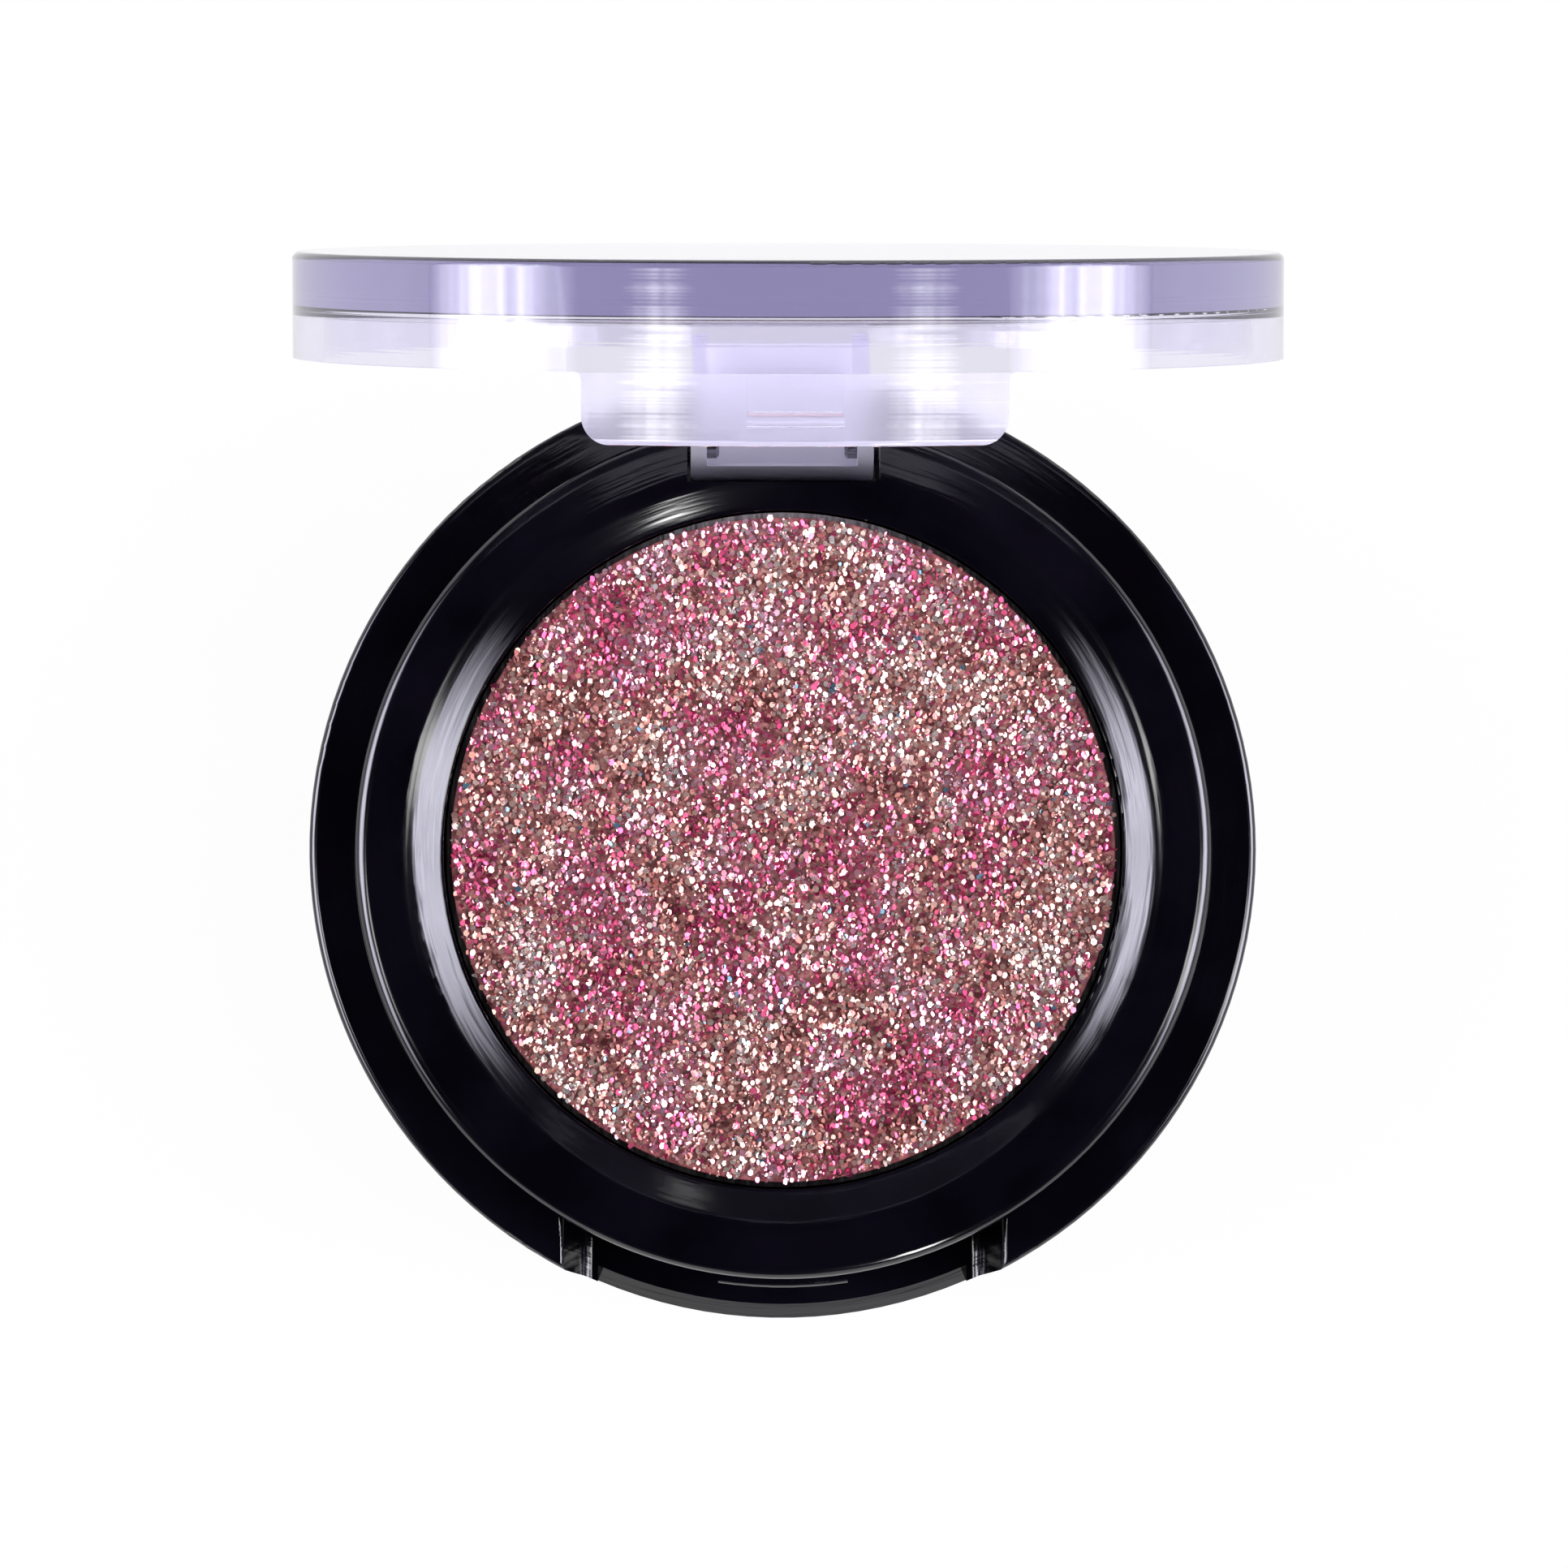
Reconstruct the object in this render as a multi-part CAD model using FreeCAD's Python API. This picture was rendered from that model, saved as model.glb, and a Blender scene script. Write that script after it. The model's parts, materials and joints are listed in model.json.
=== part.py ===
import FreeCAD, Part
import math
import os

# A round eyeshadow compact with one pan: a black moulded base, a pan frame snapped into it,
# a clear lid on two steel hinge pins, and a metal pan of pressed glitter glued into the frame.
# Sizes are in millimetres. The origin is the middle of the underside, +Z is up, +Y is the hinge side.
# The lid is drawn shut and then turned open about its hinge axis.

# Metal pan, pressed cake and glue
PAN_RADIUS = 13.5         # outside of the pan
PAN_HEIGHT = 3.6
PAN_SHEET = 0.2           # thickness of the pan's sheet
PAN_BEND = 0.5            # outer radius of the bend round the pan's foot
CAKE_DROP = 0.1           # cake's surface below the pan's rim
CAKE_EDGE = 0.2           # rounded edge of the pressed cake
CAKE_GAP = 0.02           # hairline between cake and pan wall
GLUE_RADIUS = 9.0
GLUE_THICKNESS = 0.15

# Pan frame: a well for the pan, a funnel round it and a collar that the lid closes over
PAN_GAP = 0.1             # round the pan in its well
PAN_SINK = 0.15           # pan's rim below the lip of the well
WELL_WALL = 0.75
WELL_FLOOR = 1.0
WELL_BEVEL = 0.4          # outside corner under the well
LIP_WIDTH = 0.08          # flat lip round the well's mouth
LIP_BEVEL = 0.04
FUNNEL_RUN = 1.37         # funnel between lip and collar, measured outwards
FUNNEL_RISE = 0.9
FUNNEL_FOOT = 0.2         # hollow radius at the funnel's foot
FUNNEL_CREST = 1.4        # full radius where the funnel turns into the collar
COLLAR_WIDTH = 2.1        # top of the collar
COLLAR_RISE = 1.5         # collar's top above the base's ledge
COLLAR_EDGE = 0.6
FRAME_WALL = 1.0          # skirt that stands on the base's floor
FRAME_DECK = 1.0          # thickness under the lip
FRAME_GAP = 0.05          # between frame and base wall
BEAD_RING_REACH = 0.15    # snap ring round the skirt
BEAD_RING_WIDTH = 0.8
BEAD_RING_HEIGHT = 3.2    # middle of the snap ring above the underside

# Base shell
BASE_WALL = 1.8           # wall, and the ledge on top of it
BASE_FLOOR = 1.3
LEDGE_HEIGHT = 8.4        # ledge above the underside
LEDGE_EDGE = 0.35
FOOT_EDGE = 1.2           # rounded lower edge

# Hinge: a hollow lug on the lid turns on two pins that sit in the base
KNUCKLE_RADIUS = 1.5      # round end of the lug about the hinge axis
LUG_WIDTH = 7.4
LUG_WALL = 0.65           # cheek of the lug on each side of its pocket
LUG_WEB = 0.65            # end wall of the pocket
LUG_HEEL = 1.0            # rounded lower edge on the outside
LUG_EDGE = 0.25           # rounded corners of the lug's end
LUG_SHOULDER = 1.2        # where the cheeks start to slope back, above the axis
LUG_ROOT = 0.9            # how far the cheeks run up the inside of the lid
LUG_SIDE_GAP = 0.15
LUG_FRONT_GAP = 0.25
SWING_GAP = 0.65          # spare room under the lug as it swings
NOTCH_WALL = 0.35         # from the well's wall to the notch
CHEEK_COVER = 0.4         # plastic in front of the pin, up to where it enters the base's wall
CHEEK_RISE = 1.7          # top of the block on each side of the notch, above the axis
CHEEK_GAP = 0.15          # between that block and the frame
PIN_RADIUS = 0.6
PIN_BEVEL = 0.12
PIN_TIP = 0.5             # pin's tip inside the lug's pocket
PIN_INSET = 0.2           # pin's outer end below the base's wall
PIN_PRESS_GAP = 0.01
PIN_RUNNING_GAP = 0.04

# Lid
LID_WALL = 1.2
LID_DEPTH = 2.0           # hollow of the lid
LID_PLATE = 2.05          # thickness of its face
LID_EDGE = 0.3
LID_CORNER = 0.4          # inside corner of the hollow
RIM_GAP = 0.15            # between the shut lid's rim and the ledge
LID_OPENING = 85.0        # degrees from shut

# Finger tab and snap latch
TAB_WIDTH = 15.5
TAB_DROP = 2.65           # below the rim
TAB_CORNER = 1.05
TAB_ROOT = 0.3            # hollow radius where the tab leaves the rim
TAB_EDGE = 0.2
LATCH_WIDTH = 3.45        # thinned pad on the inside of the tab, with the bead across it
LATCH_PAD = 0.2           # depth of the pad
BEAD_HEIGHT = 0.58
BEAD_EDGE = 0.22
BEAD_GAP = 0.1            # between bead and catch when shut
SNAP_BITE = 0.12          # bead behind the catch, taken up by the tab's spring
CATCH_WIDTH = 5.2
CATCH_REACH = 0.45
CATCH_HEIGHT = 0.7
CATCH_DROP = 0.45         # top of the catch below the ledge
CATCH_LEAD = 0.3          # rounded top of the catch
CATCH_EDGE = 0.08

# Recess for the tab in the front of the base
RECESS_SIDE_GAP = 0.2
RECESS_FLARE = 0.9        # lean of each end wall
RECESS_FLOOR_GAP = 0.25
RECESS_EDGE = 0.3
RECESS_CORNER = 0.5
NAIL_BEVEL = 0.6          # bevel under the tab for a fingernail

# Radii that follow from the rings, from the middle outwards
well_radius = PAN_RADIUS + PAN_GAP
well_outside = well_radius + WELL_WALL
lip_radius = well_radius + LIP_WIDTH
funnel_radius = lip_radius + FUNNEL_RUN
frame_radius = funnel_radius + COLLAR_WIDTH
base_bore = frame_radius + FRAME_GAP
base_radius = base_bore + BASE_WALL
lid_radius = base_radius
lid_bore = lid_radius - LID_WALL

# Heights that follow from the ledge
collar_top = LEDGE_HEIGHT + COLLAR_RISE
lip_height = collar_top - FUNNEL_RISE
pan_top = lip_height - PAN_SINK
pan_foot = pan_top - PAN_HEIGHT
well_floor = pan_foot - GLUE_THICKNESS
well_foot = well_floor - WELL_FLOOR
rim_height = LEDGE_HEIGHT + RIM_GAP
face_inside = rim_height + LID_DEPTH
face_outside = face_inside + LID_PLATE

# Hinge axis and the notch round the lug
notch_front = well_outside + NOTCH_WALL
hinge_y = notch_front + LUG_FRONT_GAP + KNUCKLE_RADIUS
hinge_z = BASE_FLOOR + (lid_radius - hinge_y) + SWING_GAP
lug_half = LUG_WIDTH / 2
notch_half = lug_half + LUG_SIDE_GAP
cheek_half = math.sqrt(base_bore ** 2 - (hinge_y - PIN_RADIUS - CHEEK_COVER) ** 2)
cheek_top = hinge_z + CHEEK_RISE

# Latch and recess
catch_radius = frame_radius + CATCH_REACH
catch_top = LEDGE_HEIGHT - CATCH_DROP
catch_foot = catch_top - CATCH_HEIGHT
bead_top = catch_foot - BEAD_GAP
bead_radius = catch_radius - SNAP_BITE
tab_half = TAB_WIDTH / 2
tab_foot = rim_height - TAB_DROP
recess_floor = tab_foot - RECESS_FLOOR_GAP
recess_half = tab_half + RECESS_SIDE_GAP

# Tools that cut reach this far past what they cut
PAST = base_radius

Vector = FreeCAD.Vector
ORIGIN = Vector(0, 0, 0)
ALONG_X = Vector(1, 0, 0)
ALONG_Y = Vector(0, 1, 0)
ALONG_Z = Vector(0, 0, 1)


def section(u, v):
    """A point of a profile that is turned about Z: radius and height."""
    return Vector(u, 0, v)


def side(u, v):
    """A point of a side view: Y and Z."""
    return Vector(0, u, v)


def shaft(u, v):
    """A point of a profile that is turned about the hinge axis: X and radius."""
    return Vector(u, hinge_y, hinge_z + v)


def rounded_edges(view, corners):
    """Edges through the corners, with a tangent arc at each inner corner that has a radius."""
    points = [view(*corner[:2]) for corner in corners]
    radii = [corner[2] if len(corner) > 2 else 0 for corner in corners]
    edges = []
    start = points[0]
    for number in range(1, len(points)):
        corner = points[number]
        end = corner
        bend = None
        if radii[number]:
            back = (points[number - 1] - corner).normalize()
            ahead = (points[number + 1] - corner).normalize()
            half_angle = back.getAngle(ahead) / 2
            tangent = radii[number] / math.tan(half_angle)
            inset = radii[number] / math.sin(half_angle) - radii[number]
            end = corner + back * tangent
            bend = (end, corner + (back + ahead).normalize() * inset, corner + ahead * tangent)
        edges.append(Part.LineSegment(start, end).toShape())
        start = end
        if bend:
            edges.append(Part.Arc(*bend).toShape())
            start = bend[2]
    return edges


def closed_face(view, corners):
    """The face inside a closed row of corners, which starts at a sharp one."""
    return Part.Face(Part.Wire(rounded_edges(view, corners + corners[:1])))


def turned(corners):
    """A solid turned about Z from a closed profile of radii and heights."""
    return closed_face(section, corners).revolve(ORIGIN, ALONG_Z, 360)


def across(view, corners, direction, width):
    """A solid pulled both ways from the middle plane, to the given width."""
    face = closed_face(view, corners)
    face.translate(direction * (-width / 2))
    return face.extrude(direction * width)


def box(half_width, y_from, y_to, z_from, z_to):
    """A box that is centred across X."""
    corner = Vector(-half_width, y_from, z_from)
    return Part.makeBox(2 * half_width, y_to - y_from, z_to - z_from, corner)


def hinge_cylinder(radius, length):
    """A cylinder about the hinge axis, centred across X."""
    return Part.makeCylinder(radius, length, Vector(-length / 2, hinge_y, hinge_z), ALONG_X)


def front_part(shape, width):
    """What lies on the front side within the given width."""
    return shape.common(box(width / 2, -2 * PAST, 0, -PAST, PAST))


def make_base_shell():
    groove = base_bore + BEAD_RING_REACH
    groove_half = BEAD_RING_WIDTH / 2 + FRAME_GAP
    shell = turned([
        (0, 0),
        (base_radius, 0, FOOT_EDGE),
        (base_radius, LEDGE_HEIGHT, LEDGE_EDGE),
        (base_bore, LEDGE_HEIGHT),
        (base_bore, BEAD_RING_HEIGHT + groove_half),
        (groove, BEAD_RING_HEIGHT),
        (base_bore, BEAD_RING_HEIGHT - groove_half),
        (base_bore, BASE_FLOOR),
        (0, BASE_FLOOR),
    ])
    block = box(cheek_half, notch_front, base_radius, BASE_FLOOR / 2, cheek_top)
    block = block.common(Part.makeCylinder(base_bore + BASE_WALL / 2, PAST))
    notch = box(notch_half, notch_front, PAST + base_radius, BASE_FLOOR, PAST)
    # The back is rounded about the hinge axis, so that the lid's rim can roll over it.
    above_hinge = box(PAST, hinge_y, PAST + base_radius, hinge_z, PAST)
    relief = above_hinge.cut(hinge_cylinder(LEDGE_HEIGHT - hinge_z, 3 * PAST))
    bore = hinge_cylinder(PIN_RADIUS + PIN_PRESS_GAP, 3 * PAST)
    shell = shell.fuse(block).cut([notch, relief, bore, tab_recess(), nail_bevel()])
    return shell.removeSplitter()


def tab_recess():
    """The space cut from the front wall for the tab, with leaning ends and a rounded brim."""
    top_half = recess_half + RECESS_FLARE
    brim_half = top_half + 2 * RECESS_EDGE
    left = [
        (-brim_half, PAST),
        (-brim_half, LEDGE_HEIGHT),
        (-top_half, LEDGE_HEIGHT, RECESS_EDGE),
        (-recess_half, recess_floor, RECESS_CORNER),
    ]
    right = [(-corner[0], *corner[1:]) for corner in reversed(left)]
    space = across(section, left + right, ALONG_Y, 4 * PAST)
    return front_part(space, 2 * PAST)


def nail_bevel():
    """A bevel along the outer edge of the recess floor."""
    past = base_radius + NAIL_BEVEL
    ring = turned([
        (base_radius - NAIL_BEVEL, recess_floor),
        (past, recess_floor),
        (past, recess_floor - 2 * NAIL_BEVEL),
    ])
    return front_part(ring, 2 * (recess_half - RECESS_CORNER))


def make_pan_frame():
    bead_half = BEAD_RING_WIDTH / 2
    frame = turned([
        (0, well_floor),
        (well_radius, well_floor),
        (well_radius, lip_height - LIP_BEVEL),
        (well_radius + LIP_BEVEL, lip_height),
        (lip_radius, lip_height, FUNNEL_FOOT),
        (funnel_radius, collar_top, FUNNEL_CREST),
        (frame_radius, collar_top, COLLAR_EDGE),
        (frame_radius, BEAD_RING_HEIGHT + bead_half),
        (frame_radius + BEAD_RING_REACH, BEAD_RING_HEIGHT),
        (frame_radius, BEAD_RING_HEIGHT - bead_half),
        (frame_radius, BASE_FLOOR),
        (frame_radius - FRAME_WALL, BASE_FLOOR),
        (frame_radius - FRAME_WALL, lip_height - FRAME_DECK),
        (well_outside, lip_height - FRAME_DECK),
        (well_outside, well_foot + WELL_BEVEL),
        (well_outside - WELL_BEVEL, well_foot),
        (0, well_foot),
    ])
    catch = turned([
        (frame_radius - FRAME_WALL / 2, catch_foot),
        (catch_radius, catch_foot, CATCH_EDGE),
        (catch_radius, catch_top, CATCH_LEAD),
        (frame_radius - FRAME_WALL / 2, catch_top),
    ])
    notch = box(notch_half, notch_front, 2 * PAST, -PAST, PAST)
    cheek_room = box(cheek_half + CHEEK_GAP, notch_front - CHEEK_GAP, 2 * PAST, -PAST, cheek_top + CHEEK_GAP)
    frame = frame.fuse(front_part(catch, CATCH_WIDTH)).cut([notch, cheek_room])
    return frame.removeSplitter()


def make_powder_pan():
    inside = PAN_RADIUS - PAN_SHEET
    return turned([
        (0, pan_foot),
        (PAN_RADIUS, pan_foot, PAN_BEND),
        (PAN_RADIUS, pan_top),
        (inside, pan_top),
        (inside, pan_foot + PAN_SHEET, PAN_BEND - PAN_SHEET),
        (0, pan_foot + PAN_SHEET),
    ])


def make_eyeshadow_cake():
    radius = PAN_RADIUS - PAN_SHEET - CAKE_GAP
    foot = pan_foot + PAN_SHEET
    top = pan_top - CAKE_DROP
    return turned([
        (0, foot),
        (radius, foot, PAN_BEND - PAN_SHEET),
        (radius, top, CAKE_EDGE),
        (0, top),
    ])


def make_pan_glue():
    return Part.makeCylinder(GLUE_RADIUS, GLUE_THICKNESS, Vector(0, 0, well_floor))


def make_hinge_pin(hand):
    """A pin that is pressed in from the outside, on the right (1) or the left (-1)."""
    tip = lug_half - LUG_WALL - PIN_TIP
    end = math.sqrt(base_radius ** 2 - (hinge_y + PIN_RADIUS) ** 2) - PIN_INSET
    profile = closed_face(shaft, [
        (hand * tip, 0),
        (hand * tip, PIN_RADIUS - PIN_BEVEL),
        (hand * (tip + PIN_BEVEL), PIN_RADIUS),
        (hand * (end - PIN_BEVEL), PIN_RADIUS),
        (hand * end, PIN_RADIUS - PIN_BEVEL),
        (hand * end, 0),
    ])
    return profile.revolve(Vector(0, hinge_y, hinge_z), ALONG_X, 360)


def lid_cap():
    """The lid's face and skirt."""
    return turned([
        (0, face_inside),
        (lid_bore, face_inside, LID_CORNER),
        (lid_bore, rim_height),
        (lid_radius, rim_height),
        (lid_radius, face_outside, LID_EDGE),
        (0, face_outside),
    ])


def finger_tab():
    """The tab that carries on from the skirt at the front."""
    ring = turned([
        (lid_bore, face_inside),
        (lid_bore, tab_foot, TAB_EDGE),
        (lid_radius, tab_foot, TAB_EDGE),
        (lid_radius, face_inside),
    ])
    root_half = tab_half + 2 * TAB_ROOT
    left = [
        (-root_half, rim_height + LID_DEPTH / 2),
        (-root_half, rim_height),
        (-tab_half, rim_height, TAB_ROOT),
        (-tab_half, tab_foot, TAB_CORNER),
    ]
    right = [(-corner[0], *corner[1:]) for corner in reversed(left)]
    outline = across(section, left + right, ALONG_Y, 4 * PAST)
    return front_part(ring.common(outline), 2 * PAST)


def latch_pad():
    """The thinned pad on the inside of the tab."""
    ring = turned([
        (lid_bore - LATCH_PAD, tab_foot - LATCH_PAD),
        (lid_bore + LATCH_PAD, tab_foot - LATCH_PAD),
        (lid_bore + LATCH_PAD, rim_height),
        (lid_bore - LATCH_PAD, rim_height),
    ])
    return front_part(ring, LATCH_WIDTH)


def latch_bead():
    """The bead across the pad that snaps under the catch."""
    root = lid_bore + LID_WALL / 2
    ring = turned([
        (root, bead_top),
        (bead_radius, bead_top, BEAD_EDGE),
        (bead_radius, bead_top - BEAD_HEIGHT, BEAD_EDGE),
        (root, bead_top - BEAD_HEIGHT),
    ])
    return front_part(ring, LATCH_WIDTH)


def hinge_lug():
    """The hollow lug: two cheeks, a round end and a back that carries on from the skirt."""
    front = hinge_y - KNUCKLE_RADIUS
    foot = hinge_z - KNUCKLE_RADIUS
    top = rim_height + LUG_ROOT
    profile = across(side, [
        (front, hinge_z + LUG_SHOULDER),
        (front, foot, KNUCKLE_RADIUS),
        (lid_radius, foot, LUG_HEEL),
        (lid_radius, top),
        (lid_bore, top),
    ], ALONG_X, LUG_WIDTH)
    outline = across(section, [
        (-lug_half, PAST),
        (-lug_half, foot, LUG_EDGE),
        (lug_half, foot, LUG_EDGE),
        (lug_half, PAST),
    ], ALONG_Y, 4 * PAST)
    within_lid = Part.makeCylinder(lid_radius, PAST)
    return profile.common(outline).common(within_lid)


def lug_pocket():
    """The hollow of the lug, open towards the middle of the lid."""
    floor = hinge_z - KNUCKLE_RADIUS + LUG_WEB
    space = box(lug_half - LUG_WALL, 0, 2 * PAST, floor, face_inside)
    return space.common(Part.makeCylinder(lid_bore, PAST))


def make_lid():
    bore = hinge_cylinder(PIN_RADIUS + PIN_RUNNING_GAP, 3 * PAST)
    lid = lid_cap().fuse([finger_tab(), hinge_lug()]).cut([lug_pocket(), latch_pad(), bore])
    lid = lid.fuse(latch_bead()).removeSplitter()
    lid.rotate(Vector(0, hinge_y, hinge_z), -ALONG_X, LID_OPENING)
    return lid


def main():
    nodes = {
        "base_shell": make_base_shell(),
        "pan_frame": make_pan_frame(),
        "powder_pan": make_powder_pan(),
        "eyeshadow_cake": make_eyeshadow_cake(),
        "pan_glue": make_pan_glue(),
        "hinge_pin_left": make_hinge_pin(-1),
        "hinge_pin_right": make_hinge_pin(1),
        "lid": make_lid(),
    }
    os.makedirs("parts", exist_ok=True)
    for name, shape in nodes.items():
        shape.exportStep(f"parts/{name}.step")
        print(f"{name}: {len(shape.Solids)} solid, {shape.Volume:.1f} mm3, valid {shape.isValid()}")
    print(f"hinge axis at Y {hinge_y:.3f}, Z {hinge_z:.3f}; base radius {base_radius:.3f}")


main()
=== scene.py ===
# %% [markdown]
# # A round eyeshadow compact, standing open
# The object is a gloss black compact with one pan of pressed glitter and a clear lid on a hinge.
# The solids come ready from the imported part, so this lesson adds what a solid lacks: the finish of each
# surface, the glitter in the pan, the light and the camera. Each step says what the real thing is, how it
# could be made, and why it is made this way here.

import json
import math

import bmesh
import bpy
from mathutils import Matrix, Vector, noise


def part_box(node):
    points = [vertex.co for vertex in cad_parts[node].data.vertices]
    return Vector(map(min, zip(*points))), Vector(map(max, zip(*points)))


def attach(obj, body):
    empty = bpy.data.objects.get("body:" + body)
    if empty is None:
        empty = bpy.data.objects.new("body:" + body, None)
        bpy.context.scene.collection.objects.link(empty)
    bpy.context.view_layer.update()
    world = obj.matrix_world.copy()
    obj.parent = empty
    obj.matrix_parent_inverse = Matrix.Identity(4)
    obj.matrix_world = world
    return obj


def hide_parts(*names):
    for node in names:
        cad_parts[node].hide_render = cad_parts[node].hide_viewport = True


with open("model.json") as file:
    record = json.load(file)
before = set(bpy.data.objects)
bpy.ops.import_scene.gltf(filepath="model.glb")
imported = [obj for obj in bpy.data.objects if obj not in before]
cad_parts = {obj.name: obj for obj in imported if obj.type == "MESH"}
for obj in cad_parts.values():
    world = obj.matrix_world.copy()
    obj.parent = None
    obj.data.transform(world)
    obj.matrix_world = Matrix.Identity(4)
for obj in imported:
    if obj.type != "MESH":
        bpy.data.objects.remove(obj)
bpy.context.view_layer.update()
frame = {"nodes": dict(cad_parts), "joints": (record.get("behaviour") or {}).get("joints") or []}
nodes = frame["nodes"]
scene = bpy.context.scene
scene.view_settings.view_transform = "Standard"
MM = 0.001
print("nodes:", ", ".join(sorted(nodes)))

# %% [markdown]
# ## Small tools
# Colours are written as sRGB hex codes, as a paint chart gives them, and the shader needs linear values.
# Node trees get long when each node takes four lines, so one function adds a node, sets its properties,
# and fills each input with a value or with a link, whichever it is given. Two more start an empty material
# and fill a colour ramp.

# %% Colour and node tools
def linear(code):
    """An sRGB hex code as linear red, green, blue and alpha."""
    channels = [int(code[place:place + 2], 16) / 255 for place in (1, 3, 5)]
    return [c / 12.92 if c <= 0.04045 else ((c + 0.055) / 1.055) ** 2.4 for c in channels] + [1.0]


def add(tree, kind, inputs=None, **settings):
    """Adds a node with its settings, and with a value or a link for each input that is named."""
    node = tree.nodes.new(kind)
    for name, value in settings.items():
        setattr(node, name, value)
    for socket, value in (inputs or {}).items():
        if isinstance(value, bpy.types.NodeSocket):
            tree.links.new(value, node.inputs[socket])
        else:
            node.inputs[socket].default_value = value
    return node


def new_finish(name):
    """An empty material and its node tree."""
    material = bpy.data.materials.new(name)
    material.use_nodes = True
    material.node_tree.nodes.clear()
    return material, material.node_tree


def set_ramp(node, *stops):
    """Gives a colour ramp its stops, each a position and an sRGB hex code."""
    elements = node.color_ramp.elements
    while len(elements) < len(stops):
        elements.new(1.0)
    for element, (position, code) in zip(elements, stops):
        element.position = position
        element.color = linear(code)


print("black plastic as linear colour:", [round(c, 4) for c in linear("#08060C")[:3]])

# %% [markdown]
# ## The camera
# The photograph looks straight down on the base, so the lid, which stands open, shows its rim edge-on.
# Its upper parts are nearer to the lens and come out larger, which gives the camera's height. The frame's
# width at the ledge follows from the base, whose width is known both in pixels and in millimetres.

# %% Camera
PHOTO_PIXELS = 1932
BASE_PIXELS = 1168                  # width of the base in the photograph
BASE_MIDDLE = (965, 1047)           # pixel at the middle of the base
CAMERA_HEIGHT = 307 * MM            # above the base's ledge
CAMERA_SIDE = -4.5 * MM             # a little left of the middle, as the tab's place shows

base_low, base_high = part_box("base_shell")
pixel = (base_high.x - base_low.x) / BASE_PIXELS
aim = Vector((
    (PHOTO_PIXELS / 2 - BASE_MIDDLE[0]) * pixel,
    (BASE_MIDDLE[1] - PHOTO_PIXELS / 2) * pixel,
    base_high.z,
))
camera = bpy.data.objects.new("camera", bpy.data.cameras.new("camera"))
scene.collection.objects.link(camera)
camera.location = aim + Vector((CAMERA_SIDE, 0, CAMERA_HEIGHT))
camera.rotation_euler = (0, math.atan2(CAMERA_SIDE, CAMERA_HEIGHT), 0)
camera.data.lens = camera.data.sensor_width * CAMERA_HEIGHT / (PHOTO_PIXELS * pixel)
scene.camera = camera
print("lens in mm:", round(camera.data.lens, 1), "pixel in mm:", round(pixel / MM, 4))

# %% [markdown]
# ## The studio
# A product shot of gloss black plastic is lit by what the black mirrors. Flat faces mirror the dark space
# round the camera and stay black. The sloping funnel mirrors two low boxes, left and right, which draws
# the bright crescents, and the rounded edges draw the same boxes as thin lines. Three smaller boxes higher
# up draw the pale patches on the lid, and a small one in front adds the two short glints. A real box is
# brightest in its middle and its cloth has creases, so the lamp fades towards its edges and is streaked.
# Power follows from the brightness of the box's face, so a box can change its size and keep its look.

# %% Lights
BRIGHT_MIDDLE = 0.15                # where a box starts to fade, from its middle, in shares of its side
DARK_EDGE = 0.5                     # where it has faded out
CREASES = (2.0, 7.0, 1.0)           # creases across and up the cloth
CREASE_SLANT = 0.25                 # in radians
CREASE_DIMMED = 0.3                 # brightness that is left in a crease
NOISE_LOW = 0.3                     # most values of a noise texture lie between these two
NOISE_HIGH = 0.7
COOL_CLOTH = "#EFEDFF"
WHITE_CLOTH = "#FFFFFF"


def softbox(name, azimuth, elevation, distance, width, height, brightness, tint):
    """A rectangular lamp that faces the pan. Azimuth 0 is the right side, and 90 is the back."""
    lamp = bpy.data.lights.new(name, "AREA")
    lamp.shape = "RECTANGLE"
    lamp.size = width
    lamp.size_y = height
    lamp.energy = brightness * math.pi * width * height
    lamp.color = linear(tint)[:3]
    lamp.use_nodes = True
    tree = lamp.node_tree
    tree.nodes.clear()
    spot = add(tree, "ShaderNodeNewGeometry").outputs["Parametric"]
    centred = add(tree, "ShaderNodeVectorMath", {0: spot, 1: (0.5, 0.5, 0)}, operation="SUBTRACT")
    off_middle = add(tree, "ShaderNodeVectorMath", {0: centred.outputs[0]}, operation="LENGTH")
    fade = add(tree, "ShaderNodeMapRange", {
        "Value": off_middle.outputs["Value"], "From Min": DARK_EDGE, "From Max": BRIGHT_MIDDLE},
        interpolation_type="SMOOTHSTEP")
    drawn = add(tree, "ShaderNodeMapping", {
        "Vector": spot, "Scale": CREASES, "Rotation": (0, 0, CREASE_SLANT)})
    creases = add(tree, "ShaderNodeTexNoise", {"Vector": drawn.outputs[0], "Scale": 1.0, "Detail": 3.0})
    streaks = add(tree, "ShaderNodeMapRange", {
        "Value": creases.outputs["Fac"], "From Min": NOISE_LOW, "From Max": NOISE_HIGH,
        "To Min": CREASE_DIMMED})
    glow = add(tree, "ShaderNodeMath", {
        0: fade.outputs["Result"], 1: streaks.outputs["Result"]}, operation="MULTIPLY")
    face = add(tree, "ShaderNodeEmission", {"Strength": glow.outputs[0]})
    add(tree, "ShaderNodeOutputLight", {0: face.outputs[0]})
    box = bpy.data.objects.new(name, lamp)
    turn = math.radians(azimuth)
    rise = math.radians(elevation)
    towards = Vector((math.cos(turn) * math.cos(rise), math.sin(turn) * math.cos(rise), math.sin(rise)))
    box.location = Vector((0, 0, base_high.z)) + towards * distance
    box.rotation_euler = (math.pi / 2 - rise, 0, math.pi / 2 + turn)
    box.visible_camera = False
    box.visible_transmission = False
    scene.collection.objects.link(box)


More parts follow.
